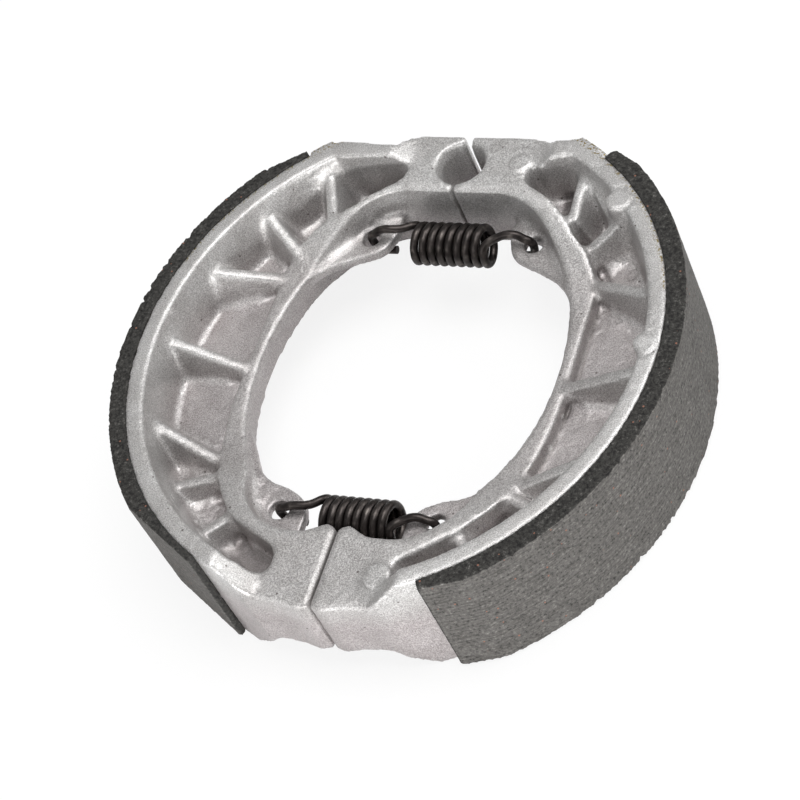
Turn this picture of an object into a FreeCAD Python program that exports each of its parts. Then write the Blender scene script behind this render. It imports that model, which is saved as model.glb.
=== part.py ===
import FreeCAD, Part
import math
import os

# Frame: drum axis is Z, back rim faces at z = 0, front rim faces at z = width,
# +Y from the cam end to the anchor pin end, +X to the right shoe. Millimetres.

# Drum side: lining and rim, each shoe drawn about its own centre
width = 24.0
centre_shift = 3.6
lining_radius = 55.0
lining_thickness = 3.4
rim_radius = lining_radius - lining_thickness
rim_thickness = 3.2
rim_wall_draft = 1.5
rim_cam_angle = -66.0
rim_face = rim_radius - rim_thickness
rim_foot = rim_face - rim_wall_draft
lip_height = 0.9
lip_clearance = 0.3

# Plan outlines are drawn for this lining radius and follow it when it changes
drawn_radius = 55.0
plan_scale = lining_radius / drawn_radius

# Web, flange and end blocks along Z
web_back = 10.4
web_front = 12.8
floor_rise = 0.6
moat_width = 0.9
flange_back = 9.9
flange_front = 15.7
anchor_back = 8.0
anchor_front = 22.1
cam_back = 4.7
cam_front = 18.4
anchor_ramp = (19.0, 33.0)
cam_ramp = (-19.0, -32.0)
ramp_easing = 4.0

# Mating faces, anchor pin hole and the relief that lets the shoes open
mating_gap = 0.3
half_gap = mating_gap / 2
pin_centre_y = 40.5 * plan_scale
pin_radius = 4.1
pin_chamfer = 0.7
pin_chamfer_depth = 2.0
relief_angle = 5.5
relief_reach = 12.0

# Block limits in plan
anchor_inner_y = 34.2 * plan_scale
anchor_outer_y = 46.7 * plan_scale
cam_inner_y = -35.5 * plan_scale
cam_outer_y = -49.0 * plan_scale
cam_toe_y = -50.0 * plan_scale
cam_hump_y = -33.8 * plan_scale
cam_ramp_top = 16.5 * plan_scale
cam_ramp_foot = 10.5 * plan_scale

# Inner curve from anchor block to cam block; a pair is (point on arc, end)
inner_curve = (
    ((14.2, 32.6), (18.4, 29.3)),
    ((24.1, 20.4), (27.1, 10.8)),
    ((28.1, 0.8), (27.1, -9.6)),
    ((24.7, -17.2), (21.4, -24.0)),
    ((18.6, -30.6), (13.3, -34.7)),
    ((11.2, -35.3), (8.9, -35.5)),
    (6.2, -35.5),
    ((4.0, -34.6), (2.6, -33.8)),
)

# Edge of the pocket along the flange, from anchor block to cam block
flange_edge = (
    ((28.6, 22.6), (30.3, 15.0)),
    (30.6, -4.9),
    ((29.9, -13.0), (28.2, -20.8)),
    ((24.8, -28.4), (19.3, -34.6)),
)
flange_shoulder = (24.4, 27.6)
pocket_corner = (15.6, -44.2)

# Ribs: angle at the rim, flange end in plan, crest heights at both ends
rib_top_width = 1.8
rib_draft = 0.28
rib_start = 0.4
middle_ribs = (
    (-0.8, (29.6, -2.2), 21.1, 15.8),
    (-21.7, (28.0, -22.0), 20.8, 16.2),
)
cam_rib = (-52.4, (20.1, -32.4), 17.0, 17.4)
back_rib_rim_height = 3.2
back_rib_flange_height = 8.6

# What differs between the shoes: angles where the rim stops and the lip falls
# short of it, end strips as steps from the rim's end, pocket ends, ribs, and
# the lining's end angles with the length and depth of its tapers
left_ends = {
    "rim_stop": 57.4,
    "lip_short": 1.4,
    "strip": ((-11.3, -0.5), (-13.0, 2.1), (-14.4, 2.9)),
    "strip_ramp": 3.4,
    "strip_depth": 3.3,
    "corner_run": 1.3,
    "anchor_pocket": 9.9,
    "cam_pocket": 9.8,
    "flange_bow": (18.2, 31.3),
    "ribs": (
        (52.7, (22.4, 28.6), 20.9, 19.8),
        (36.2, (26.6, 21.3), 21.0, 17.0),
        (17.8, (29.2, 17.9), 21.2, 15.8),
        *middle_ribs,
        (-35.9, (25.4, -25.0), 16.2, 16.6),
        cam_rib,
    ),
    "ledge": (),
    "rim_bosses": (),
    "pads": (),
    "lining_angles": (-62.6, 50.4),
    "cam_taper": (19.0, 1.8),
    "anchor_taper": (9.5, 1.7),
    "lining_wear": 0.2,
}
right_ends = {
    "rim_stop": 61.0,
    "lip_short": 0.5,
    "strip": ((-3.7, -0.5), (-6.1, 0.7)),
    "strip_ramp": 2.4,
    "strip_depth": 4.9,
    "corner_run": 5.7,
    "anchor_pocket": 13.1,
    "cam_pocket": 12.4,
    "flange_bow": (19.4, 33.0),
    "ribs": (
        (56.2, (23.6, 30.0), 20.9, 19.8),
        (39.6, (27.0, 25.6), 21.0, 17.4),
        (17.1, (29.2, 19.8), 21.2, 15.9),
        *middle_ribs,
        (-35.2, (25.5, -23.8), 16.2, 16.6),
        cam_rib,
    ),
    "ledge": ((0.6, 55.0), (2.8, 42.9), (3.2, 38.5)),
    "rim_bosses": ((41.1, 3.4, 2.3), (3.0, 2.6, 2.2)),
    "pads": ((11.5, 40.6, 2.3, anchor_front + 0.25), (11.0, -43.6, 2.4, 20.4)),
    "lining_angles": (-63.0, 52.7),
    "cam_taper": (8.0, 1.6),
    "anchor_taper": (6.5, 1.0),
    "lining_wear": 0.0,
}
ledge_front = 20.0

# Ears for the spring hooks
ear_thickness = 2.0
upper_ear_back = 13.5
lower_ear_back = 11.5
upper_ear = (
    (10.4, 35.2),
    (10.9, 32.4),
    ((10.9, 29.4), (11.6, 27.2)),
    ((12.7, 25.2), (14.6, 24.1)),
    (19.3, 22.0),
    ((22.6, 20.0), (25.3, 16.9)),
    (28.0, 12.2),
    (20.0, 30.0),
)
lower_ear = (
    (9.4, -37.0),
    (9.3, -30.6),
    ((9.9, -27.9), (11.9, -25.9)),
    ((13.7, -24.9), (16.0, -24.2)),
    ((18.9, -23.1), (21.2, -21.2)),
    (26.8, -12.0),
    (27.0, -20.0),
    (18.0, -35.0),
)
upper_hole = (15.8 * plan_scale, 27.9 * plan_scale)
lower_hole = (14.6 * plan_scale, -29.2 * plan_scale)
upper_hole_radius = 1.7
lower_hole_radius = 1.8

# Return springs: wire, coil, and hooks from the coil ends through the ears
wire_radius = 0.75
wire_sides = 6
coil_radius = 3.3
coil_turns = 8.75
coil_steps = 8
coil_start_angle = 45.0
upper_coil = (-8.1 * plan_scale, 7.9 * plan_scale)
upper_coil_z = 14.5
upper_hook_lift = 2.5
lower_coil = (-7.0 * plan_scale, 8.4 * plan_scale)
lower_coil_z = 12.4
lower_hook_lift = 1.6
hook_rise = 2.1
hook_bend = 1.2
hook_offset = 0.35
hook_drop = 1.2
hook_stub = 2.6


def vec(x, y, z=0.0):
    return FreeCAD.Vector(x, y, z)


def fitted(steps):
    # Drawn plan points brought to the present lining radius
    if isinstance(steps[0], tuple):
        return tuple(fitted(step) for step in steps)
    return (steps[0] * plan_scale, steps[1] * plan_scale)


def loop(start, *steps):
    # Closed wire at z = 0; a step is a point, or (point on arc, end point)
    edges = []
    here = start
    for step in steps + (start,):
        if isinstance(step[0], tuple):
            edges.append(Part.Arc(vec(*here), vec(*step[0]), vec(*step[1])).toShape())
            here = step[1]
        elif step != here:
            edges.append(Part.makeLine(vec(*here), vec(*step)))
            here = step
    return Part.Wire(edges)


def prism(wire, bottom, top):
    face = Part.Face(wire)
    face.translate(vec(0, 0, bottom))
    return face.extrude(vec(0, 0, top - bottom))


def polar(radius, degrees):
    # Plan point at an angle about the right shoe's own centre
    a = math.radians(degrees)
    return (radius * math.cos(a) - centre_shift, radius * math.sin(a))


def angle_of(point):
    return math.degrees(math.atan2(point[1], point[0] + centre_shift))


def revolved(profile, start_angle, end_angle):
    # Profile of (radius, z) points turned about the shoe's own centre
    points = [vec(r, 0, z) for r, z in profile]
    face = Part.Face(Part.makePolygon(points + points[:1]))
    face.rotate(vec(0, 0), vec(0, 0, 1), start_angle)
    solid = face.revolve(vec(0, 0), vec(0, 0, 1), end_angle - start_angle)
    solid.translate(vec(-centre_shift, 0))
    return solid


def fuse_all(shapes):
    return shapes[0].multiFuse(list(shapes[1:])).removeSplitter()


# Rim: drafted ring section between cam end and anchor end
def rim(ends):
    profile = (
        (rim_radius, 0),
        (rim_radius, width),
        (rim_face, width),
        (rim_foot, web_front),
        (rim_foot, web_back),
        (rim_face, 0),
    )
    return revolved(profile, rim_cam_angle, ends["rim_stop"])


def lining(ends):
    # Even strip on the rim that thins toward both ends
    low, high = ends["lining_angles"]
    outer = lining_radius - ends["lining_wear"]
    cam_run, cam_depth = ends["cam_taper"]
    anchor_run, anchor_depth = ends["anchor_taper"]
    plan = loop(
        polar(rim_radius, low),
        polar(outer - cam_depth, low),
        polar(outer, low + cam_run),
        (polar(outer, 0), polar(outer, high - anchor_run)),
        polar(outer - anchor_depth, high),
        polar(rim_radius, high),
        (polar(rim_radius, 0), polar(rim_radius, low)),
    )
    return prism(plan, 0, width)


def strip_points(ends):
    # End strip beyond the rim's arc, from the rim's end toward the anchor block
    end = polar(rim_radius, ends["rim_stop"])
    return [(end[0] + dx, end[1] + dy) for dx, dy in ends["strip"]]


def outer_edge(ends):
    # Drum side of the core, from the cam toe round to the anchor block
    inside = rim_radius - 0.5
    cam_end = polar(inside, rim_cam_angle)
    middle = polar(inside, 0)
    anchor_end = polar(inside, ends["rim_stop"])
    strip = strip_points(ends)
    last_x, last_y = strip[-1]
    run = ends["corner_run"]
    rise = anchor_outer_y - last_y
    return (
        (half_gap, cam_toe_y + 0.6),
        ((1.4, cam_toe_y + 0.1), (2.8, cam_toe_y)),
        (5.5, cam_outer_y - 0.3),
        (8.2, cam_outer_y),
        (cam_ramp_foot + 2.1, cam_outer_y),
        cam_end,
        (middle, anchor_end),
        *strip,
        ((last_x - 0.47 * run, anchor_outer_y - 0.32 * rise), (last_x - run, anchor_outer_y)),
        (1.2, anchor_outer_y),
        (half_gap, anchor_outer_y - 0.9),
    )


def pocket_outline(ends):
    # Hollow between flange, rim and both end blocks
    wall = rim_face + 0.2
    top_x = ends["anchor_pocket"] * plan_scale
    low_x = ends["cam_pocket"] * plan_scale
    top_y = polar(rim_radius, ends["rim_stop"])[1] - ends["strip_depth"]
    low_y = pocket_corner[1] * plan_scale
    start = (top_x, top_y - 2.2)
    return loop(
        start,
        ((top_x + 0.5, top_y - 3.5), (top_x + 1.8, top_y - 4.4)),
        (fitted(ends["flange_bow"]), fitted(flange_shoulder)),
        *fitted(flange_edge),
        (low_x + 2.2, low_y + 6.0),
        ((low_x + 0.5, low_y + 4.8), (low_x - 0.2, low_y + 2.6)),
        ((low_x + 0.1, low_y + 0.8), (low_x + 1.4, low_y - 0.2)),
        fitted(pocket_corner),
        (polar(wall, 0), polar(wall, ends["rim_stop"] - 3.0)),
        (top_x + 1.6, top_y),
        ((top_x + 0.4, top_y - 0.6), start),
    )


def eased(before, corner, after):
    # Corner of a side outline rounded by an arc that touches both lines
    a = vec(*before) - vec(*corner)
    b = vec(*after) - vec(*corner)
    a.normalize()
    b.normalize()
    start = vec(*corner) + a * ramp_easing
    end = vec(*corner) + b * ramp_easing
    half = a.getAngle(b) / 2
    inward = a + b
    inward.normalize()
    depth = ramp_easing / math.cos(half) - ramp_easing * math.tan(half)
    middle = vec(*corner) + inward * depth
    return (start.x, start.y), ((middle.x, middle.y), (end.x, end.y))


def roof():
    # Front and back limits of flange and blocks, drawn in Y and Z
    far = lining_radius + 5
    anchor_low, anchor_high = (y * plan_scale for y in anchor_ramp)
    cam_low, cam_high = (y * plan_scale for y in cam_ramp)
    front = (
        (far, anchor_front),
        (anchor_high, anchor_front),
        (anchor_low, flange_front),
        (cam_low, flange_front),
        (cam_high, cam_front),
        (-far, cam_front),
    )
    back = (
        (-far, cam_back),
        (cam_high, cam_back),
        (cam_low, flange_back),
        (anchor_low, flange_back),
        (anchor_high, anchor_back),
        (far, anchor_back),
    )
    steps = []
    for side in (front, back):
        steps.append(side[0])
        for before, corner, after in zip(side, side[1:], side[2:]):
            steps.extend(eased(before, corner, after))
        steps.append(side[-1])
    face = Part.Face(loop(*steps))
    face.rotate(vec(0, 0), vec(1, 0, 0), 90)
    face.rotate(vec(0, 0), vec(0, 0, 1), 90)
    return face.extrude(vec(far, 0, 0))


def core(ends):
    # Flange and end blocks in one piece, with the web closing the pocket
    plan = loop(
        (half_gap, anchor_inner_y),
        (9.3 * plan_scale, anchor_inner_y),
        *fitted(inner_curve),
        ((1.1, cam_hump_y - 0.1), (half_gap, cam_inner_y + 0.4)),
        *outer_edge(ends)
    )
    body = prism(plan, 0, width).common(roof())
    pocket = prism(pocket_outline(ends), web_front, width + 1)
    back_pocket = prism(pocket_outline(ends), -1, web_back)
    return body.cut([pocket, back_pocket])


def rib_end(angle):
    return polar(rim_face + rib_start, angle)


def gusset(rim_point, flange_point, base, rim_top, flange_top):
    # Rib with a sloping crest and drafted sides, as a ruled body
    along = vec(flange_point[0] - rim_point[0], flange_point[1] - rim_point[1])
    across = vec(-along.y, along.x)
    across.normalize()
    sections = []
    for end, top in ((rim_point, rim_top), (flange_point, flange_top)):
        crest = across * (rib_top_width / 2)
        foot = across * (rib_top_width / 2 + abs(top - base) * rib_draft)
        at_base = vec(end[0], end[1], base)
        at_top = vec(end[0], end[1], top)
        corners = [at_base - foot, at_base + foot, at_top + crest, at_top - crest]
        sections.append(Part.makePolygon(corners + corners[:1]))
    return Part.makeLoft(sections, True, True)


def rib_set(ends):
    middle = (web_back + web_front) / 2
    shapes = []
    for angle, flange_point, rim_top, flange_top in ends["ribs"]:
        points = (rib_end(angle), fitted(flange_point))
        shapes.append(gusset(*points, middle, rim_top, flange_top))
        shapes.append(gusset(*points, middle, back_rib_rim_height, back_rib_flange_height))
    return shapes


def floor_panels(ends):
    # Raised floors between neighbouring ribs, a shallow moat left all round
    shapes = []
    outer_r = rim_foot - moat_width
    inner_ribs = ends["ribs"][1:-1]
    for first, second in zip(inner_ribs, inner_ribs[1:]):
        corners = []
        for rib, side in ((first, 1), (second, -1)):
            angle, flange_point, rim_top, flange_top = rib
            rim_point = rib_end(angle)
            flange_point = fitted(flange_point)
            along = vec(flange_point[0] - rim_point[0], flange_point[1] - rim_point[1])
            length = along.Length
            along.normalize()
            across = vec(-along.y, along.x) * side
            pair = []
            for station, top in ((2.6, rim_top), (length - 2.0, flange_top)):
                shift = rib_top_width / 2 + (top - web_front) * rib_draft + moat_width * 0.6
                point = vec(*rim_point) + along * station + across * shift
                pair.append((point.x, point.y))
            corners.append(pair)
        outer = [polar(outer_r, angle_of(pair[0])) for pair in corners]
        wire = loop(outer[0], corners[0][1], corners[1][1], outer[1])
        if Part.Face(wire).Area > 12:
            shapes.append(prism(wire, web_front - 0.5, web_front + floor_rise))
    return shapes


def ramped(solid, foot_x, top_x, block_back, block_front):
    # Full width beyond top_x, brought down to the end block's height at foot_x
    far = 2 * lining_radius
    side = [
        vec(foot_x, -far, block_back),
        vec(foot_x, -far, block_front),
        vec(top_x, -far, width),
        vec(far, -far, width),
        vec(far, -far, 0),
        vec(top_x, -far, 0),
    ]
    ramp = Part.Face(Part.makePolygon(side + side[:1])).extrude(vec(0, 2 * far, 0))
    return solid.common(ramp)


def end_strips(ends):
    # Rim continued past its arc at both ends, at full width
    stop = ends["rim_stop"]
    strip = strip_points(ends)
    foot_x = strip[-1][0]
    inner_y = polar(rim_radius, stop)[1] - ends["strip_depth"]
    pocket_x = ends["anchor_pocket"] * plan_scale
    anchor = prism(
        loop(
            polar(rim_radius, stop - 0.01),
            *strip,
            (foot_x, inner_y - 0.4),
            (max(pocket_x + 3.4, foot_x + 1.0), inner_y),
            polar(rim_face - 0.4, stop - 2.0),
        ),
        0,
        width,
    )
    cam_end = (polar(rim_radius, rim_cam_angle + 0.01), polar(rim_face, rim_cam_angle + 0.01))
    cam = prism(
        loop(
            *cam_end,
            (cam_ramp_foot - 0.6, cam_outer_y + 4.1),
            (cam_ramp_foot - 0.6, cam_outer_y),
            (cam_ramp_foot + 2.1, cam_outer_y),
        ),
        0,
        width,
    )
    shapes = [
        ramped(anchor, foot_x, foot_x + ends["strip_ramp"], anchor_back, anchor_front),
        ramped(cam, cam_ramp_foot, cam_ramp_top, cam_back, cam_front),
    ]
    lip_start = ends["lining_angles"][1] + lip_clearance
    lip_end = stop - ends["lip_short"]
    if lip_end > lip_start:
        inner = rim_face + 1
        outer = rim_radius + lip_height
        profile = ((inner, 0), (outer, 0), (outer, width), (inner, width))
        shapes.append(revolved(profile, lip_start, lip_end))
    return shapes


def ledge(ends):
    # Low step along the rim wall, as (inset from the wall, angle)
    points = [polar(rim_face - inset, angle) for inset, angle in ends["ledge"]]
    first = ends["ledge"][0][1]
    last = ends["ledge"][-1][1]
    wall = rim_face + 1
    back_arc = (polar(wall, (first + last) / 2), polar(wall, first))
    plan = loop(polar(wall, first), *points, polar(wall, last), back_arc)
    return prism(plan, web_back, ledge_front)


def bosses(ends):
    shapes = []
    for angle, inset, radius in ends["rim_bosses"]:
        x, y = polar(rim_radius - inset, angle)
        shapes.append(Part.makeCylinder(radius, width - web_front, vec(x, y, web_front)))
    for x, y, radius, top in ends["pads"]:
        place = vec(x * plan_scale, y * plan_scale, web_front)
        shapes.append(Part.makeCylinder(radius, top - web_front, place))
    return shapes


def ears():
    plates = []
    for outline, back in ((upper_ear, upper_ear_back), (lower_ear, lower_ear_back)):
        plates.append(prism(loop(*fitted(outline)), back, back + ear_thickness))
    return plates


def pin_cut():
    # Anchor pin hole with a chamfer on both faces and the relief above it
    wide = pin_radius + pin_chamfer
    depth = pin_chamfer_depth
    relief_y = pin_centre_y + relief_reach
    lean = relief_reach * math.tan(math.radians(relief_angle))
    wedge = loop((0, pin_centre_y), (lean, relief_y), (-1, relief_y), (-1, pin_centre_y))
    front_start = vec(0, pin_centre_y, anchor_front - depth)
    return [
        Part.makeCylinder(pin_radius, width, vec(0, pin_centre_y)),
        Part.makeCone(pin_radius, wide, depth, front_start),
        Part.makeCone(wide, pin_radius, depth, vec(0, pin_centre_y, anchor_back)),
        prism(wedge, -1, width + 1),
    ]


def hook_holes():
    return [
        Part.makeCylinder(upper_hole_radius, width, vec(*upper_hole)),
        Part.makeCylinder(lower_hole_radius, width, vec(*lower_hole)),
    ]


def casting(ends):
    parts = [core(ends), rim(ends)] + end_strips(ends) + rib_set(ends) + floor_panels(ends)
    parts += ears() + bosses(ends)
    if ends["ledge"]:
        parts.append(ledge(ends))
    return fuse_all(parts).cut(pin_cut() + hook_holes()).removeSplitter()


def mirrored(shape):
    return shape.mirror(vec(0, 0), vec(1, 0, 0))


def wire_body(points):
    # Many-sided wire through points, mitred at each bend
    headings = []
    for here, there in zip(points, points[1:]):
        step = there - here
        step.normalize()
        headings.append(step)
    across = headings[0].cross(vec(0, 0, 1))
    across.normalize()
    upward = headings[0].cross(across)
    ring = []
    for i in range(wire_sides):
        turn = 2 * math.pi * i / wire_sides
        spoke = across * math.cos(turn) + upward * math.sin(turn)
        ring.append(points[0] + spoke * wire_radius)
    faces = [Part.Face(Part.makePolygon(ring + ring[:1]))]
    for i, heading in enumerate(headings):
        mitre = heading + headings[min(i + 1, len(headings) - 1)]
        following = []
        for corner in ring:
            travel = (points[i + 1] - corner).dot(mitre) / heading.dot(mitre)
            following.append(corner + heading * travel)
        for j in range(wire_sides):
            k = (j + 1) % wire_sides
            quad = [ring[j], ring[k], following[k], following[j]]
            faces.append(Part.Face(Part.makePolygon(quad + quad[:1])))
        ring = following
    faces.append(Part.Face(Part.makePolygon(ring + ring[:1])))
    shell = Part.makeShell(faces)
    shell.sewShape()
    return Part.makeSolid(shell)


def hook(end, side, hole, ear_back, lift):
    # From a coil end over the ear's front, down through its hole and back under it
    front = ear_back + ear_thickness + lift
    under = ear_back - hook_drop
    y = hole[1]
    x = hole[0] - hook_offset
    rise_y = end.y + (y - end.y) * 0.7
    return [
        vec(end.x + side * hook_rise, rise_y, (end.z + 2 * front) / 3),
        vec(side * (x - 2.6), y, front),
        vec(side * (x - 1.0), y, front - 0.45 * lift),
        vec(side * x, y, ear_back + ear_thickness + 0.3 * lift),
        vec(side * x, y, under + hook_bend),
        vec(side * (x - 0.35 * hook_bend), y, under + 0.35 * hook_bend),
        vec(side * (x - hook_bend), y, under),
        vec(side * (x - hook_bend - hook_stub), y, under),
    ]


def spring(coil, axis_z, hole, ear_back, lift):
    # Close-wound coil between the ears with a hook at each end
    axis_y = hole[1]
    first_x = coil[0] + wire_radius
    length = coil[1] - coil[0] - 2 * wire_radius
    count = round(coil_turns * coil_steps)
    turns = []
    for i in range(count + 1):
        turn = math.radians(coil_start_angle - 360 * coil_turns * i / count)
        y = axis_y + coil_radius * math.cos(turn)
        z = axis_z + coil_radius * math.sin(turn)
        turns.append(vec(first_x + length * i / count, y, z))
    left_hook = hook(turns[0], -1, hole, ear_back, lift)
    right_hook = hook(turns[-1], 1, hole, ear_back, lift)
    return wire_body(left_hook[::-1] + turns + right_hook)


pieces = {
    "left_shoe_casting": mirrored(casting(left_ends)),
    "right_shoe_casting": casting(right_ends),
    "left_lining": mirrored(lining(left_ends)),
    "right_lining": lining(right_ends),
    "anchor_spring": spring(upper_coil, upper_coil_z, upper_hole, upper_ear_back, upper_hook_lift),
    "cam_spring": spring(lower_coil, lower_coil_z, lower_hole, lower_ear_back, lower_hook_lift),
}

os.makedirs("parts", exist_ok=True)
for name, shape in pieces.items():
    if len(shape.Solids) != 1 or not shape.isValid():
        raise ValueError(name + " is not one valid solid")
    shape.Solids[0].exportStep("parts/" + name + ".step")
    box = shape.BoundBox
    print(name, [round(v, 2) for v in (box.XMin, box.XMax, box.YMin, box.YMax, box.ZMin, box.ZMax)])
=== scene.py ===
# %% [markdown]
# # A pair of drum brake shoes
# Two die-cast aluminium shoes stand round an anchor pin hole, each with a curved
# friction lining bonded on, and two coil springs pull them together. The solids come
# from CAD and give every size. This lesson gives them cast corners, coiled wire and
# the finishes of new parts.

# %% Load the frame
import math
import bpy
import numpy
from mathutils import Matrix, Vector, noise


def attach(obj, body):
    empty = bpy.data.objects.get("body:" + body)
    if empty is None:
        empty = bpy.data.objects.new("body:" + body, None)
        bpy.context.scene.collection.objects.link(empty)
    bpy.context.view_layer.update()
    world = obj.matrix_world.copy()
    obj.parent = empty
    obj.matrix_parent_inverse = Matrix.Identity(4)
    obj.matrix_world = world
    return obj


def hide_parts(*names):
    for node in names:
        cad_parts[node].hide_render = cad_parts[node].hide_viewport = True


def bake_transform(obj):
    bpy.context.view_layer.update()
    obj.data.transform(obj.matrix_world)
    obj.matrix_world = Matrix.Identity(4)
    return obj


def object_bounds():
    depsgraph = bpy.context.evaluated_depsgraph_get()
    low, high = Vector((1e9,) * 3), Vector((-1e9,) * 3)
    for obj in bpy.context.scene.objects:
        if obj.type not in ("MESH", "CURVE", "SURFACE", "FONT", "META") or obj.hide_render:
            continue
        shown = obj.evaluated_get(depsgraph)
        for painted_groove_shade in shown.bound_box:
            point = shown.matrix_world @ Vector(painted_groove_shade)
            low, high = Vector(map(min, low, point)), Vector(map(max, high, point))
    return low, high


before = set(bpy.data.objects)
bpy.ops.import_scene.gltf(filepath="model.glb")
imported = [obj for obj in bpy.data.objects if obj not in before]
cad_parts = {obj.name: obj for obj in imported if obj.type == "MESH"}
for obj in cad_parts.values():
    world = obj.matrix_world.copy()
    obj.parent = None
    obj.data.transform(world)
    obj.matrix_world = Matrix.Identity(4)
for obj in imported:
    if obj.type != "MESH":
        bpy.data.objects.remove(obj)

cad_low, cad_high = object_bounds()
MM = 0.001
print("CAD box in mm", [round(v / MM, 1) for v in (*cad_low, *cad_high)])

# %% [markdown]
# ## Places on the shoes
# Z is the drum's axis and +Y points to the anchor pin, so the two shoes lie left and
# right of the YZ plane and nearly mirror each other. Places are therefore given for
# the right shoe, in millimetres, and the left one takes them with X turned round.

# %% Places in mm
OWN_CENTRE = 3.6  # while closed, each shoe's arcs are centred this far beyond the axis
MIDDLE_Z = 12.0  # half of the shoe's width
ANCHOR_HOLE = (15.8, 27.9)  # spring hole near the anchor pin
CAM_HOLE = (14.6, -29.2)  # spring hole near the cam
PIN_BORE = (0.0, 40.5)
SIDES = ("left", "right")


def own_polar(co):
    # Distance and angle of a point about its shoe's own centre
    x = abs(co.x) + OWN_CENTRE * MM
    return math.hypot(x, co.y), math.degrees(math.atan2(co.y, x))


print("spring holes are", round(ANCHOR_HOLE[1] - CAM_HOLE[1], 1), "mm apart along Y")

# %% [markdown]
# ## Small helpers
# Colours are picked as sRGB hex, as a painter reads them, but shaders want linear
# numbers, so one function turns the one into the other. Another adds a shader or
# geometry node with its settings, its colour stops and its links in one call, which
# keeps a long material readable. Object coordinates carry every pattern, because each
# finished piece has its place in its mesh, so a pattern never slides or turns.

# %% Colour, node and material helpers
def linear(code):
    parts = [int(code[i:i + 2], 16) / 255 for i in (1, 3, 5)]
    return [p / 12.92 if p <= 0.04045 else ((p + 0.055) / 1.055) ** 2.4 for p in parts] + [1.0]


def add(tree, kind, settings=None, **inputs):
    # An input is a value or an output socket; its name has _ for a space, or is _ and a number
    node = tree.nodes.new(kind)
    for key, value in (settings or {}).items():
        if key == "stops":
            elements = node.color_ramp.elements
            while len(elements) < len(value):
                elements.new(0.5)
            for element, (place, colour) in zip(elements, value):
                element.position = place
                element.color = linear(colour)
        else:
            setattr(node, key, value)
    for key, value in inputs.items():
        socket = node.inputs[int(key[1:]) if key[1:].isdigit() else key.replace("_", " ")]
        if isinstance(value, bpy.types.NodeSocket):
            tree.links.new(value, socket)
        else:
            socket.default_value = value
    return node


def empty_tree(owner):
    owner.use_nodes = True
    owner.node_tree.nodes.clear()
    return owner.node_tree


def new_material(name):
    material = bpy.data.materials.new(name)
    material.use_nodes = True
    tree = material.node_tree
    return material, tree, tree.nodes["Principled BSDF"], add(tree, "ShaderNodeTexCoord")


def feed(shader, **sockets):
    for name, socket in sockets.items():
        shader.id_data.links.new(socket, shader.inputs[name.replace("_", " ")])


def link(obj):
    bpy.context.scene.collection.objects.link(obj)
    return obj


def dress(obj, material):
    obj.data.materials.clear()
    obj.data.materials.append(material)


grey = linear("#808080")[0]
print("white is", [round(v, 3) for v in linear("#ffffff")], "mid grey is", round(grey, 3))

# %% [markdown]
# ## Camera
# The pair was photographed from the front right, from above, with the camera rolled a
# little. A camera could be aimed with a constraint, but that can't hold the roll, so
# it is placed by its right, up and back directions as the columns of a matrix. A long
# lens keeps the far shoe nearly as large as the near one.

# %% Camera
RIGHT = Vector((0.8998, 0.2976, -0.3190))
DOWN = Vector((0.0632, -0.8124, -0.5797))
AHEAD = Vector((-0.4317, 0.5014, -0.7498))
EYE = Vector((186.7, -221.9, 337.4)) * MM
turn = Matrix((RIGHT, -DOWN, -AHEAD)).transposed().to_4x4()
camera_data = bpy.data.cameras.new("camera")
camera_data.lens = 113.68
camera_data.sensor_width = 36.0
camera_data.clip_start = 0.01
camera = link(bpy.data.objects.new("camera", camera_data))
camera.matrix_world = Matrix.Translation(EYE) @ turn
bpy.context.scene.camera = camera
middle = Vector((0, 0, MIDDLE_Z * MM))
print("camera is", round((EYE - middle).length, 3), "m from the middle of the pair")

# %% [markdown]
# ## Floor, sky and lamps
# The picture has the light of a white tent: it comes from all round, and no edge of
# a shadow is hard. So a pale sky does a third of the work, and a wide lamp overhead
# reaches into the pockets. A long low lamp at the camera's side lights the outer
# faces as a bright table would, but not the walls inside the ring. Two small ones, at
# the back right and the front left, stand where a rounded edge mirrors them to the
# camera. The floor and the sky are plain white to the camera only, and the floor
# keeps a share of real paper, which takes the shadow.

# %% Floor and sky
HALF_FLOOR = 3.0
UNDER = 0.2 * MM
WHITE = linear("#ffffff")
floor_mesh = bpy.data.meshes.new("floor")
corners = [(x * HALF_FLOOR, y * HALF_FLOOR, 0) for x, y in ((-1, -1), (1, -1), (1, 1), (-1, 1))]
floor_mesh.from_pydata(corners, [], [(0, 1, 2, 3)])
floor = link(bpy.data.objects.new("floor", floor_mesh))
floor.location.z = cad_low.z - UNDER
paper = bpy.data.materials.new("matte white paper")
tree = empty_tree(paper)
to_camera = add(tree, "ShaderNodeLightPath").outputs["Is Camera Ray"]
glow = add(tree, "ShaderNodeEmission", Color=WHITE, Strength=1.0).outputs[0]
matte = add(tree, "ShaderNodeBsdfDiffuse", Color=linear("#f6f6f6")).outputs[0]
lit = add(tree, "ShaderNodeMixShader", Fac=0.86, _1=matte, _2=glow).outputs[0]
seen = add(tree, "ShaderNodeMixShader", Fac=to_camera, _1=matte, _2=lit)
add(tree, "ShaderNodeOutputMaterial", Surface=seen.outputs[0])
floor_mesh.materials.append(paper)

world = bpy.data.worlds.new("studio sky")
bpy.context.scene.world = world
tree = empty_tree(world)
to_camera = add(tree, "ShaderNodeLightPath").outputs["Is Camera Ray"]
soft, plain = (add(tree, "ShaderNodeBackground", Color=WHITE, Strength=strength).outputs[0]
               for strength in (0.36, 1.0))
mix = add(tree, "ShaderNodeMixShader", Fac=to_camera, _1=soft, _2=plain)
add(tree, "ShaderNodeOutputWorld", Surface=mix.outputs[0])
print("floor at z", round(floor.location.z / MM, 2), "mm")

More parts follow.
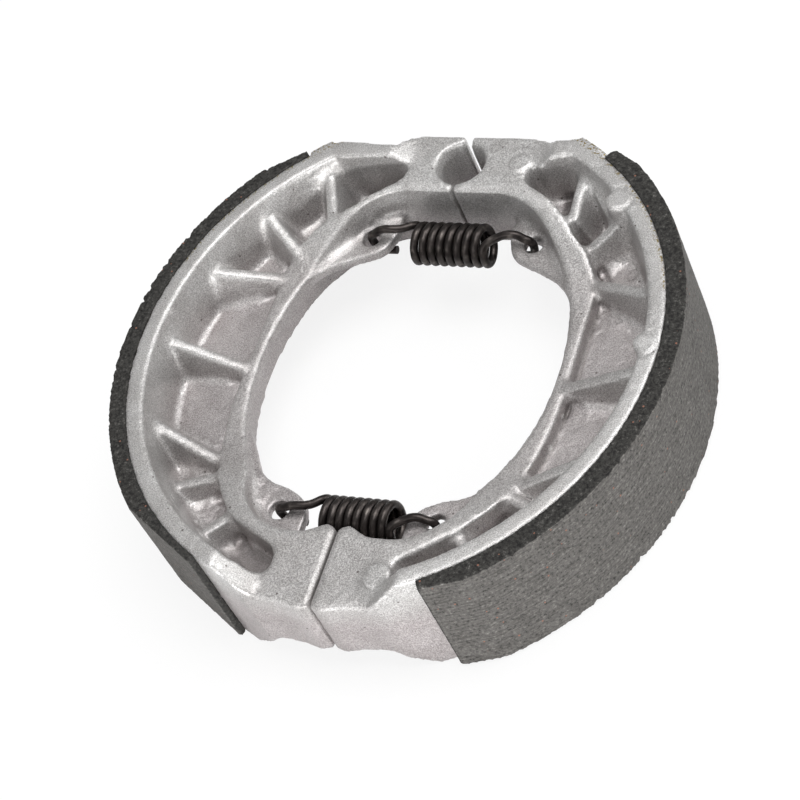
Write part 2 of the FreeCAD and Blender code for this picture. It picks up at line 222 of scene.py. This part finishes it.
# %% Lamps
AIM = Vector((0, 0, 0.01))
LAMPS = (  # name, place in m, width and height in m, power in W
    ("table lamp", (0.34, -0.74, 0.045), 0.50, 0.06, 6.2),
    ("back lamp", (0.66, 0.42, 0.40), 0.45, 0.45, 2.4),
    ("front lamp", (-0.25, -0.72, 0.46), 0.45, 0.45, 1.4),
    ("top lamp", (0.22, 0.12, 0.97), 0.70, 0.70, 8.4),
)
for name, place, width, height, power in LAMPS:
    data = bpy.data.lights.new(name, "AREA")
    data.shape = "RECTANGLE"
    data.size = width
    data.size_y = height
    data.energy = power
    lamp = link(bpy.data.objects.new(name, data))
    lamp.location = place
    lamp.rotation_euler = (AIM - Vector(place)).to_track_quat("-Z", "Y").to_euler()
    print(name, "at", round(Vector(place).length, 2), "m")

# %% [markdown]
# ## Rounding a CAD solid
# A die casting has no sharp corner: every edge is rounded and every inside corner
# has a fillet, so that the metal flows and lets go of the die. A Bevel modifier would
# have to find its way along hundreds of short edges where ribs meet walls. A voxel
# remesh turns the solid into small even quads instead, and smoothing them rounds all
# corners at once, whatever meets there.

# %% Copy, remesh and smooth
def bake(obj):
    # Modifiers become plain geometry in the object's own mesh
    graph = bpy.context.evaluated_depsgraph_get()
    mesh = bpy.data.meshes.new_from_object(obj.evaluated_get(graph))
    obj.modifiers.clear()
    old = obj.data
    obj.data = mesh
    bpy.data.meshes.remove(old)
    return obj


def smooth(obj, name, passes):
    modifier = obj.modifiers.new(name, "SMOOTH")
    modifier.factor = 0.5
    modifier.iterations = passes


def rounded(node, name, voxel, passes):
    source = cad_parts[node]
    mesh = source.data.copy()
    mesh.transform(source.matrix_world)
    obj = link(bpy.data.objects.new(name, mesh))
    weld = obj.modifiers.new("weld", "WELD")
    weld.merge_threshold = 0.01 * MM
    remesh = obj.modifiers.new("voxels", "REMESH")
    remesh.mode = "VOXEL"
    remesh.voxel_size = voxel * MM
    smooth(obj, "rounding", passes)
    return bake(obj)


def place_vertices(obj, coordinates):
    # All new places at once: a change inside the loop would make Blender work out every
    # normal anew. Each vertex is clipped to the CAD box.
    inside = numpy.clip(numpy.reshape(coordinates, (-1, 3)), tuple(cad_low), tuple(cad_high))
    obj.data.vertices.foreach_set("co", inside.ravel())
    obj.data.polygons.foreach_set("use_smooth", [True] * len(obj.data.polygons))
    obj.data.update()


print("remesh works on", len(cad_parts["left_shoe_casting"].data.polygons), "CAD triangles")

# %% [markdown]
# ## Fillets
# Much more smoothing would wear every edge away, but it also fills the inside
# corners. So a worn copy is made, and only what it adds is kept: that is the wide
# fillet which a casting has at the foot of each wall and rib. Along the flange there
# is a fine groove instead, so nothing is filled there. How far each vertex was lifted
# is kept as an attribute for the metal's shader, with -1 in the groove.

# %% Fill inside corners
FLANGE_Y = (-44.0, -34.6, -28.4, -20.8, -13.0, -4.9, 15.0, 22.6, 27.6, 33.0)
FLANGE_X = (12.4, 19.3, 24.8, 28.2, 29.9, 30.6, 30.3, 28.6, 24.4, 18.2)  # outer line of the flange
FLOOR_BAND = 14.8  # the groove's zone ends at this height
GROOVE_Z = 12.9
RIM_WALL = 50.0  # radius of the rim's outer wall, which seats the lining
CAM_POCKET_Y = -36.0  # the groove stops where the pocket of the cam end begins
EVERYWHERE = (0.0, 0.0, 100.0)


def read_vectors(items, name):
    values = numpy.empty(len(items) * 3)
    items.foreach_get(name, values)
    return values.reshape(-1, 3)


def ramp(values):
    return numpy.clip(values, 0.0, 1.0)


def fill_corners(obj, passes, keep_clear, within=EVERYWHERE):
    # keep_clear: centre in plan and radius of each hole, whose wall must not close in
    # within: centre in plan and radius of the only place that is filled
    before = read_vectors(obj.data.vertices, "co")
    normal = read_vectors(obj.data.vertex_normals, "vector")
    smooth(obj, "wear", passes)
    graph = bpy.context.evaluated_depsgraph_get()
    worn = bpy.data.meshes.new_from_object(obj.evaluated_get(graph))
    after = read_vectors(worn.vertices, "co")
    obj.modifiers.clear()
    bpy.data.meshes.remove(worn)
    lift = numpy.maximum(0.0, ((after - before) * normal).sum(axis=1))
    x, y, z = numpy.abs(before[:, 0]) / MM, before[:, 1] / MM, before[:, 2] / MM
    from_flange = x - numpy.interp(y, FLANGE_Y, FLANGE_X)
    lift *= 1.0 - ramp(FLOOR_BAND - z) * ramp(2.3 - numpy.abs(from_flange - 1.0))
    lift *= ramp(RIM_WALL - numpy.hypot(x + OWN_CENTRE, y))
    for centre_x, centre_y, radius in keep_clear:
        lift *= ramp(numpy.hypot(x - centre_x, y - centre_y) - radius)
    lift *= ramp((within[2] - numpy.hypot(x - within[0], y - within[1])) / 2)
    place_vertices(obj, (before + normal * lift[:, None]).ravel())

    if "fillet" not in obj.data.attributes:
        obj.data.attributes.new("fillet", "FLOAT", "POINT")
    total = numpy.empty(len(lift))
    obj.data.attributes["fillet"].data.foreach_get("value", total)
    groove = ramp(1.7 - 2.0 * numpy.abs(from_flange - 0.3)) * ramp(y - CAM_POCKET_Y)
    groove *= ramp(1.7 - 2.0 * numpy.abs(z - GROOVE_Z))
    total = (total + lift / MM) * (1.0 - groove) - groove
    obj.data.attributes["fillet"].data.foreach_set("value", total)
    return lift.max() / MM


print("the flange is followed through", len(FLANGE_Y), "points")

# %% [markdown]
# ## Cast skin
# A slow noise takes away the perfect flatness that only a machined face has. On the
# pocket floors of the real shoes, where the die was left rough, a quicker noise
# gives a stippled skin. The pins that push the shoe out of the die leave round marks,
# and the die's parting line shows as a fine flash on the outside of the cam end. A
# Displace modifier would treat the whole surface alike, so each vertex is asked where
# it is and is pushed along its normal in Python.

# %% Skin of the castings
FLOOR_Z = 13.4
SMOOTH_FLOOR = 0.05  # height of the stipple on a plain floor
ROUGH_FLOORS = {  # first and last angle about the shoe's own centre, height of the stipple
    "left": ((-52, -22, 0.24),),
    "right": ((39, 62, 0.17), (17, 39, 0.17)),
}
PIN_MARKS = {  # centre and radius of each ring
    "left": (),
    "right": ((32.7, 31.7, 2.6), (45.0, 1.9, 2.5), (11.5, 40.6, 2.3)),
}
MARK_DEPTH = 0.25
PARTING_Z = 11.4
CAM_FACE_Y = -44.0
FLASH = 0.16
LINE_WIDTH = 0.45  # half width of a pin ring and of the flash


def cast_push(side, co, normal):
    # How far the skin stands out of the smooth shape, in mm: waves everywhere, stipple on
    # upward faces at floor height, rings on upward faces, flash on the cam's outer faces
    push = 0.05 * noise.noise(co / (5 * MM)) + 0.04 * noise.noise(co / (1.3 * MM))
    if normal.z > 0.7 and abs(co.z / MM - FLOOR_Z) < 0.8:
        angle = own_polar(co)[1]
        heights = [height for low, high, height in ROUGH_FLOORS[side] if low < angle < high]
        stipple = noise.noise(co / (0.9 * MM)) + 0.7 * noise.noise(co / (2.1 * MM))
        push += max([SMOOTH_FLOOR] + heights) * stipple
    if normal.z > 0.6:
        for x, y, radius in PIN_MARKS[side]:
            off = abs(math.hypot(abs(co.x) / MM - x, co.y / MM - y) - radius)
            push -= MARK_DEPTH * max(0.0, 1.0 - off / LINE_WIDTH)
    if normal.y < -0.5 and co.y / MM < CAM_FACE_Y:
        ragged = 0.5 + noise.noise(co / (3 * MM))
        push += FLASH * ragged * max(0.0, 1.0 - abs(co.z / MM - PARTING_Z) / LINE_WIDTH)
    return push


print("rough floors", {side: len(floors) for side, floors in ROUGH_FLOORS.items()})

# %% Castings
CAST_VOXEL = 0.45
HOLES = ((*ANCHOR_HOLE, 2.6), (*CAM_HOLE, 2.6), (*PIN_BORE, 6.5))
BOWL = (32.0, 24.5, 7.0)  # the hollow between two ribs that is rounded out like a bowl
castings = []
for side in SIDES:
    obj = rounded(side + "_shoe_casting", side + "_cast_shoe", CAST_VOXEL, 6)
    filled = fill_corners(obj, 30, HOLES) + fill_corners(obj, 65, HOLES)
    if side == "right":
        fill_corners(obj, 120, HOLES, BOWL)
    moved = []
    for vertex in obj.data.vertices:
        co, normal = vertex.co, vertex.normal
        moved.extend(co + normal * cast_push(side, co, normal) * MM)
    place_vertices(obj, moved)
    castings.append(obj)
    triangles = len(obj.data.polygons) * 2
    print(obj.name, triangles, "triangles, corners filled by", round(filled, 2), "mm")

# %% [markdown]
# ## Friction linings
# The lining is pressed from resin, mineral fibre and metal chips, then bonded to the
# rim and ground to the drum's radius. Its brittle edges chip. Cutting each chip out
# with a boolean would be slow and look alike, so where a noise is high, vertices near
# an edge are drawn back into the body.

# %% Linings
LINING_VOXEL = 0.42
LINING_MIDDLE = 44.0  # chips are drawn towards a line through this X
BACK_RADIUS = 52.0  # the bonded face lies inside this radius and is pressed to the rim
CHIP_DEPTH = 1.0


def chipped(co, normal, middle_x):
    # 1 at the edges between the drum face and the side faces, 0 a millimetre away
    radius = own_polar(co)[0]
    edge = max(0.0, min(1.0, (abs(co.z / MM - MIDDLE_Z) - 10.9) / 0.8))
    edge *= max(0.0, min(1.0, (radius / MM - 53.0) / 1.2))
    chip = noise.noise(co / (1.5 * MM)) + 0.5 * noise.noise(co / (0.7 * MM)) - 0.18
    inward = Vector((middle_x * 0.9, co.y * 0.9, MIDDLE_Z * MM)) - co
    drawn = inward.normalized() * edge * max(0.0, chip) * CHIP_DEPTH
    grit = (0.12 if radius < BACK_RADIUS * MM else -0.05) + 0.05 * noise.noise(co / (1.1 * MM))
    return co + (drawn + normal * grit) * MM


linings = []
for side, sign in zip(SIDES, (-1, 1)):
    obj = rounded(side + "_lining", side + "_friction_lining", LINING_VOXEL, 2)
    moved = []
    for vertex in obj.data.vertices:
        moved.extend(chipped(vertex.co, vertex.normal, sign * LINING_MIDDLE * MM))
    place_vertices(obj, moved)
    linings.append(obj)
    print(obj.name, len(obj.data.polygons) * 2, "triangles")

# %% [markdown]
# ## Return springs
# Each spring is one wire: a close-wound coil whose ends run out as hooks, over the
# ear and down through its hole. A wire follows a path, so the path is a curve and
# a small geometry node tree sweeps a round section along it.

# %% Tree that sweeps a wire along a path
def wire_tree():
    tree = bpy.data.node_groups.new("round wire", "GeometryNodeTree")
    for name, direction, kind in (
        ("Geometry", "INPUT", "NodeSocketGeometry"),
        ("Wire diameter", "INPUT", "NodeSocketFloat"),
        ("Wire material", "INPUT", "NodeSocketMaterial"),
        ("Geometry", "OUTPUT", "NodeSocketGeometry"),
    ):
        tree.interface.new_socket(name, in_out=direction, socket_type=kind)
    given = add(tree, "NodeGroupInput")
    radius = add(tree, "ShaderNodeMath", {"operation": "MULTIPLY"},
                 _0=given.outputs["Wire diameter"], _1=0.5)
    section = add(tree, "GeometryNodeCurvePrimitiveCircle", Resolution=18, Radius=radius.outputs[0])
    swept = add(tree, "GeometryNodeCurveToMesh", Curve=given.outputs[0],
                Profile_Curve=section.outputs[0], Fill_Caps=True)
    soft = add(tree, "GeometryNodeSetShadeSmooth", Geometry=swept.outputs[0])
    real = add(tree, "GeometryNodeRealizeInstances", Geometry=soft.outputs[0])
    coloured = add(tree, "GeometryNodeSetMaterial", Geometry=real.outputs[0],
                   Material=given.outputs["Wire material"])
    add(tree, "NodeGroupOutput", Geometry=coloured.outputs[0])
    return tree


sweep_wire = wire_tree()
print("inputs", [s.name for s in sweep_wire.interface.items_tree if s.in_out == "INPUT"])

# %% [markdown]
# ## Path of a spring
# The coil is a row of points round a line between both holes. A hook can't be worked
# out so simply, because it bends over the ear's front, so a few points are placed
# from the ear's own faces and a Bezier curve with automatic handles runs smoothly
# through them all. The last ones lie behind the ear, where the wire's stub grips it.

# %% Path of one spring in mm
WIRE = 1.5
COIL_RADIUS = 3.2
TURNS = 8.75
STEPS = 12  # points in one turn
EAR = 2.0  # thickness of an ear
STUB_GAP = 1.2  # from the ear's back to the middle of the stub


def hook_path(end, side, hole, ear_back, lift):
    # From a coil end over the ear's front, down through its hole and back under it
    end_x, end_y, end_z = end
    front, under = ear_back + EAR + lift, ear_back - STUB_GAP
    x, y = hole[0] - 0.35, hole[1]
    return [
        # The arm leaves the coil and rises to its full height
        (end_x + side * 2.1, end_y + (y - end_y) * 0.7, (end_z + 2 * front) / 3),
        (side * (x - 2.6), y, front),
        # The bend over the ear, then straight down the hole
        (side * (x - 0.9), y, front - 0.45 * lift),
        (side * x, y, ear_back + EAR + 0.3 * lift),
        (side * x, y, under + 1.2),
        # The stub turns back behind the ear
        (side * (x - 0.5), y, under + 0.3),
        (side * (x - 1.6), y, under),
        (side * (x - 3.8), y, under),
    ]


def spring_path(coil, axis_z, hole, ear_back, lift):
    # Coil from left to right about the line through both holes, then its hooks
    first, length = coil[0] + WIRE / 2, coil[1] - coil[0] - WIRE
    count = round(TURNS * STEPS)
    turns = []
    for i in range(count + 1):
        a = math.radians(45 - 360 * TURNS * i / count)
        x = first + length * i / count
        turns.append((x, hole[1] + COIL_RADIUS * math.cos(a), axis_z + COIL_RADIUS * math.sin(a)))
    left = hook_path(turns[0], -1, hole, ear_back, lift)
    right = hook_path(turns[-1], 1, hole, ear_back, lift)
    return left[::-1] + turns + right


def wire_object(name, points, material):
    curve = bpy.data.curves.new(name, "CURVE")
    curve.dimensions = "3D"
    spline = curve.splines.new("BEZIER")
    spline.resolution_u = 4
    spline.bezier_points.add(len(points) - 1)
    for point, co in zip(spline.bezier_points, points):
        point.co = Vector(co) * MM
        point.handle_left_type = point.handle_right_type = "AUTO"
    obj = link(bpy.data.objects.new(name, curve))
    modifier = obj.modifiers.new("wire", "NODES")
    modifier.node_group = sweep_wire
    given = {"Wire diameter": WIRE * MM, "Wire material": material}
    for item in sweep_wire.interface.items_tree:
        if item.in_out == "INPUT" and item.name in given:
            modifier[item.identifier] = given[item.name]
    graph = bpy.context.evaluated_depsgraph_get()
    mesh = bpy.data.meshes.new_from_object(obj.evaluated_get(graph))
    result = link(bpy.data.objects.new(name + "_wire", mesh))
    bpy.data.objects.remove(obj)
    return result


print("a coil has", round(TURNS * STEPS) + 1, "points")

# %% [markdown]
# ## Oil-blackened spring steel
# Spring wire is drawn, coiled, then heated and quenched in oil, which leaves a thin
# dark brown oxide. Black paint would look dead here: it is still a metal, so it keeps
# long soft highlights, and the oxide only makes them dim and warm.

# %% Spring steel
spring_steel, tree, shader, coords = new_material("oil-blackened spring steel")
cloud, scale = (
    add(tree, "ShaderNodeTexNoise", Vector=coords.outputs["Object"], Scale=1 / (size * MM),
        Detail=detail).outputs[0]
    for size, detail in ((1.6, 4.0), (0.3, 3.0))
)
STEEL_STOPS = ((0.30, "#2c2827"), (0.55, "#413c3a"), (0.75, "#6a6460"))
tint = add(tree, "ShaderNodeValToRGB", {"stops": STEEL_STOPS}, Fac=cloud)
rough = add(tree, "ShaderNodeMapRange", Value=cloud, _3=0.28, _4=0.46)
bump = add(tree, "ShaderNodeBump", Height=scale, Strength=0.35, Distance=0.02 * MM)
feed(shader, Base_Color=tint.outputs[0], Roughness=rough.outputs[0], Normal=bump.outputs[0])
shader.inputs["Metallic"].default_value = 0.85
print(spring_steel.name, "has", len(tree.nodes), "nodes")

# %% Springs
SPRINGS = {  # name, coil's ends in X, height of its axis, hole, ear's back face, hook's lift
    "anchor_spring": ("anchor_return_spring", (-8.1, 8.1), 14.5, ANCHOR_HOLE, 13.5, 2.5),
    "cam_spring": ("cam_return_spring", (-7.0, 8.2), 12.3, CAM_HOLE, 11.5, 1.6),
}
springs = {}
for node, (name, *sizes) in SPRINGS.items():
    springs[node] = wire_object(name, spring_path(*sizes), spring_steel)
    print(springs[node].name, len(springs[node].data.polygons) * 2, "triangles")

# %% [markdown]
# ## As-cast aluminium
# The shoes are high-pressure die-cast aluminium, left as they came from the die. The
# skin is a dull silver with a fine sparkling grain and small pits. The rounded edges get
# a painted highlight, which partly stands for burnish, and so do the fillets; the lower
# parts get painted shade, the groove and the deep pocket at the cam end most. A painted image would
# need the shoes unwrapped; noises on Object coordinates, each with a real size, need nothing.
# Pointiness tells the shader whether it stands on an edge.

# %% Aluminium: where things are
ALUMINIUM_NOISES = (  # size in mm, detail, roughness
    (0.22, 2.0, 0.7),  # sparkling grain, drawn as coarse as it needs to show
    (1.1, 3.0, 0.5),  # lumps of the cast skin
    (7.0, 5.0, 0.6),  # clouds
    (0.5, 2.0, 0.5),  # blots of glue
)
aluminium, tree, shader, coords = new_material("as-cast die-cast aluminium")
spot = coords.outputs["Object"]
grain, lump, cloud, blot = (
    add(tree, "ShaderNodeTexNoise", Vector=spot, Scale=1 / (size * MM), Detail=detail,
        Roughness=roughness).outputs[0]
    for size, detail, roughness in ALUMINIUM_NOISES
)
x, y, z = add(tree, "ShaderNodeSeparateXYZ", Vector=spot).outputs
upward = add(tree, "ShaderNodeSeparateXYZ", Vector=coords.outputs["Normal"]).outputs[2]
on_top = add(tree, "ShaderNodeMapRange", Value=upward, _1=0.6, _2=0.8).outputs[0]
print(aluminium.name, "starts with", len(tree.nodes), "nodes")

# %% Aluminium: skin with painted shade low down, painted highlights on edges and fillets, painted shade in the groove
SKIN_AND_DEPTH_SHADE_STOPS = ((0.0, "#c4bebe"), (0.5, "#cac7c6"), (1.0, "#d9d8d7"))
# Painted shade: the skin is darker lower down, so the pocket floors and the ears look shaded
painted_depth_shade = add(tree, "ShaderNodeMapRange", Value=z, _1=12.5 * MM, _2=20 * MM)
tone = add(tree, "ShaderNodeValToRGB", {"stops": SKIN_AND_DEPTH_SHADE_STOPS}, Fac=painted_depth_shade.outputs[0]).outputs[0]
# The faces where the shoes meet were never tumbled, so the painted edge highlight, which partly
# stands for burnish, fades towards X = 0
beside = add(tree, "ShaderNodeMath", {"operation": "ABSOLUTE"}, _0=x)
edge_highlight_strength = add(tree, "ShaderNodeMapRange", Value=beside.outputs[0], _1=1.6 * MM, _2=3.2 * MM,
           _3=0.15, _4=0.85)
point = add(tree, "ShaderNodeNewGeometry").outputs["Pointiness"]
ragged = add(tree, "ShaderNodeMath", {"operation": "MULTIPLY_ADD"}, _0=lump, _1=0.06, _2=point)
# Painted highlight: on the rounded edges, where pointiness is high, the colour turns nearly white;
# partly this stands for burnish
edge = add(tree, "ShaderNodeMapRange", Value=ragged.outputs[0], _1=0.548, _2=0.62,
           _3=0.0, _4=edge_highlight_strength.outputs[0])
lifted = add(tree, "ShaderNodeAttribute", {"attribute_name": "fillet"}).outputs["Fac"]
uneven = add(tree, "ShaderNodeMath", {"operation": "MULTIPLY"}, _0=lifted, _1=lump)
# Painted highlight on the fillets: where a corner was filled, the colour turns nearly white
fillet = add(tree, "ShaderNodeMapRange", Value=uneven.outputs[0], _1=0.06, _2=0.30,
             _3=0.0, _4=0.60)
# Painted shade in the fine groove along the flange
painted_groove_shade = add(tree, "ShaderNodeMapRange", Value=lifted, _1=-0.2, _2=-0.8, _3=0.0, _4=0.7)
# Mixes in the painted edge and fillet highlights and the painted groove shade
for amount, colour in ((edge, "#fbfaf9"), (fillet, "#f4f2f1"), (painted_groove_shade, "#6d6765")):
    tone = add(tree, "ShaderNodeMix", {"data_type": "RGBA"},
               _0=amount.outputs[0], _6=tone, _7=linear(colour)).outputs[2]
print(aluminium.name, "has", len(tree.nodes), "nodes")

# %% Aluminium: grain, clouds and pits
GRAIN_STOPS = ((0.37, "#868483"), (0.50, "#c9c8c7"), (0.61, "#ffffff"))
CLOUD_STOPS = ((0.35, "#e2e0df"), (0.65, "#ffffff"))
for noise_socket, stops, amount in ((grain, GRAIN_STOPS, 0.68), (cloud, CLOUD_STOPS, 0.7)):
    tint = add(tree, "ShaderNodeValToRGB", {"stops": stops}, Fac=noise_socket)
    tone = add(tree, "ShaderNodeMix", {"data_type": "RGBA", "blend_type": "MULTIPLY"},
               _0=amount, _6=tone, _7=tint.outputs[0]).outputs[2]
cells = add(tree, "ShaderNodeTexVoronoi", Vector=spot, Scale=1 / (3.1 * MM), Randomness=1.0)
pits = add(tree, "ShaderNodeValToRGB", {"stops": ((0.05, "#ffffff"), (0.08, "#000000"))},
           Fac=cells.outputs["Distance"])
print(aluminium.name, "has", len(tree.nodes), "nodes")

# %% [markdown]
# ## Glue and painted shade on the castings
# Two marks are laid on the bare metal. Yellow-brown glue squeezed out beside the lining
# and dried in specks, mostly on the upper half. Painted shade darkens the floors low
# down in the deep pocket at the cam end. Both could be drawn on a mask; here they
# follow from where the surface is and faces.

# %% Aluminium: glue specks and painted shade in the cam pocket
flat = add(tree, "ShaderNodeVectorMath", {"operation": "MULTIPLY"}, _0=spot, _1=(1.0, 1.0, 0.0))
folded = add(tree, "ShaderNodeVectorMath", {"operation": "ABSOLUTE"}, _0=flat.outputs[0])
from_centre = add(tree, "ShaderNodeVectorMath", {"operation": "ADD"},
                  _0=folded.outputs[0], _1=(OWN_CENTRE * MM, 0.0, 0.0))
reach = add(tree, "ShaderNodeVectorMath", {"operation": "LENGTH"}, _0=from_centre.outputs[0])
seam = add(tree, "ShaderNodeMapRange", Value=reach.outputs["Value"], _1=50.5 * MM, _2=51.2 * MM)
fewer = add(tree, "ShaderNodeMapRange", Value=y, _1=8 * MM, _2=14 * MM, _3=0.5, _4=0.0)
spread = add(tree, "ShaderNodeMath", {"operation": "SUBTRACT"}, _0=blot, _1=fewer.outputs[0])
specks = add(tree, "ShaderNodeMapRange", Value=spread.outputs[0], _1=0.54, _2=0.60)
# Painted shade on the floors low down in the deep pocket at the cam end
shade_low_down = add(tree, "ShaderNodeMapRange", Value=z, _1=18 * MM, _2=14 * MM, _3=0.0, _4=0.55)
shade_at_cam_end = add(tree, "ShaderNodeMapRange", Value=y, _1=-33 * MM, _2=-36 * MM)
pits_glue_and_shade = [pits]
for one, other in ((seam, specks), (shade_low_down, shade_at_cam_end)):
    both = add(tree, "ShaderNodeMath", {"operation": "MULTIPLY"},
               _0=one.outputs[0], _1=other.outputs[0])
    pits_glue_and_shade.append(add(tree, "ShaderNodeMath", {"operation": "MULTIPLY"},
                        _0=both.outputs[0], _1=on_top))
# The pits and the glue are marks on the metal; the last grey is painted shade
for amount, colour in zip(pits_glue_and_shade, ("#6d6765", "#85764a", "#6d6765")):
    tone = add(tree, "ShaderNodeMix", {"data_type": "RGBA"},
               _0=amount.outputs[0], _6=tone, _7=linear(colour)).outputs[2]
print(aluminium.name, "has", len(tree.nodes), "nodes")

# %% Aluminium: gloss and relief
rough = add(tree, "ShaderNodeMapRange", Value=grain, _1=0.3, _2=0.7, _3=0.30, _4=0.50)
relief = add(tree, "ShaderNodeMath", {"operation": "MULTIPLY_ADD"}, _0=lump, _1=1.5, _2=grain)
bump = add(tree, "ShaderNodeBump", Height=relief.outputs[0], Strength=0.8, Distance=0.07 * MM)
feed(shader, Base_Color=tone, Roughness=rough.outputs[0], Normal=bump.outputs[0])
shader.inputs["Metallic"].default_value = 0.6
for obj in castings:
    dress(obj, aluminium)
print(aluminium.name, "is on", [obj.name for obj in castings])

# %% [markdown]
# ## Friction material
# Moulded resin with mineral filler is almost black on its side faces. The drum face
# has been ground, which opens it to a mid grey with dark pits and short streaks along
# the grinding, and chips of copper and steel show as specks. Two materials would meet
# in a hard line along a ragged edge, so one material turns from the one tone to the
# other by how squarely the surface faces away from the shoe's centre.

# %% Friction material: which way it faces
friction, tree, shader, coords = new_material("moulded friction material")
spot = coords.outputs["Object"]
x, y, z = add(tree, "ShaderNodeSeparateXYZ", Vector=spot).outputs
side = add(tree, "ShaderNodeMath", {"operation": "SIGN"}, _0=x)
own_x = add(tree, "ShaderNodeMath", {"operation": "MULTIPLY_ADD"},
            _0=side.outputs[0], _1=OWN_CENTRE * MM, _2=x).outputs[0]
flat = add(tree, "ShaderNodeCombineXYZ", X=own_x, Y=y)
outward = add(tree, "ShaderNodeVectorMath", {"operation": "NORMALIZE"}, _0=flat.outputs[0])
facing = add(tree, "ShaderNodeVectorMath", {"operation": "DOT_PRODUCT"},
             _0=outward.outputs[0], _1=coords.outputs["Normal"])
grit = add(tree, "ShaderNodeTexNoise", Vector=spot, Scale=1 / (0.55 * MM), Detail=6.0,
           Roughness=0.7).outputs[0]
worn = add(tree, "ShaderNodeMath", {"operation": "MULTIPLY_ADD"},
           _0=grit, _1=0.5, _2=facing.outputs["Value"])
ground = add(tree, "ShaderNodeMapRange", Value=worn.outputs[0], _1=1.02, _2=1.12)
print(friction.name, "starts with", len(tree.nodes), "nodes")

# %% Friction material: tones, grinding streaks and copper
SIDE_STOPS = ((0.38, "#151414"), (0.50, "#2f2e2c"), (0.60, "#3b3a38"), (0.70, "#6a6865"))
FACE_STOPS = ((0.34, "#232221"), (0.44, "#504e4c"), (0.58, "#605e5b"), (0.70, "#827f7c"))
STREAKS = (11.0, 1 / (0.4 * MM), 1.0)  # per radian round the drum, per metre across it
turned = add(tree, "ShaderNodeMath", {"operation": "ARCTAN2"}, _0=y, _1=own_x)
unrolled = add(tree, "ShaderNodeCombineXYZ", X=turned.outputs[0], Y=z)
stretch = add(tree, "ShaderNodeVectorMath", {"operation": "MULTIPLY"},
              _0=unrolled.outputs[0], _1=STREAKS)
streak = add(tree, "ShaderNodeTexNoise", Vector=stretch.outputs[0], Scale=1.0, Detail=4.0)
side_tone, face_tone = (add(tree, "ShaderNodeValToRGB", {"stops": stops}, Fac=grit).outputs[0]
                        for stops in (SIDE_STOPS, FACE_STOPS))
lines = add(tree, "ShaderNodeValToRGB", {"stops": ((0.35, "#b9b7b5"), (0.60, "#ffffff"))},
            Fac=streak.outputs[0])
face_tone = add(tree, "ShaderNodeMix", {"data_type": "RGBA", "blend_type": "MULTIPLY"},
                _0=0.7, _6=face_tone, _7=lines.outputs[0]).outputs[2]
tone = add(tree, "ShaderNodeMix", {"data_type": "RGBA"},
           _0=ground.outputs[0], _6=side_tone, _7=face_tone).outputs[2]
chips = add(tree, "ShaderNodeTexVoronoi", Vector=spot, Scale=1 / (2.2 * MM), Randomness=1.0)
copper = add(tree, "ShaderNodeValToRGB", {"stops": ((0.065, "#ffffff"), (0.09, "#000000"))},
             Fac=chips.outputs["Distance"])
tone = add(tree, "ShaderNodeMix", {"data_type": "RGBA"},
           _0=copper.outputs[0], _6=tone, _7=linear("#80594a")).outputs[2]
bump = add(tree, "ShaderNodeBump", Height=grit, Strength=0.8, Distance=0.12 * MM)
feed(shader, Base_Color=tone, Normal=bump.outputs[0])
shader.inputs["Roughness"].default_value = 0.85
shader.inputs["Specular IOR Level"].default_value = 0.3
for obj in linings:
    dress(obj, friction)
print(friction.name, "is on", [obj.name for obj in linings])

# %% [markdown]
# ## Bodies
# Each new piece stands for its CAD node and moves with its body. The springs reach
# from one shoe to the other. Riding on one shoe, a spring would pull out of the other's
# hole, so each is blended between both and stretches when the shoes open.

# %% Ride and replace
for side, cast, lining in zip(SIDES, castings, linings):
    for piece, node in ((cast, side + "_shoe_casting"), (lining, side + "_lining")):
        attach(piece, side + "_shoe")
        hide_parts(node)
for node, hole, z in (("anchor_spring", ANCHOR_HOLE, 14.5), ("cam_spring", CAM_HOLE, 12.4)):
    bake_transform(springs[node])
    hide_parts(node)
print("pieces", [obj.name for obj in (*castings, *linings, *springs.values())])

# %% View settings
bpy.context.scene.view_settings.view_transform = "Standard"
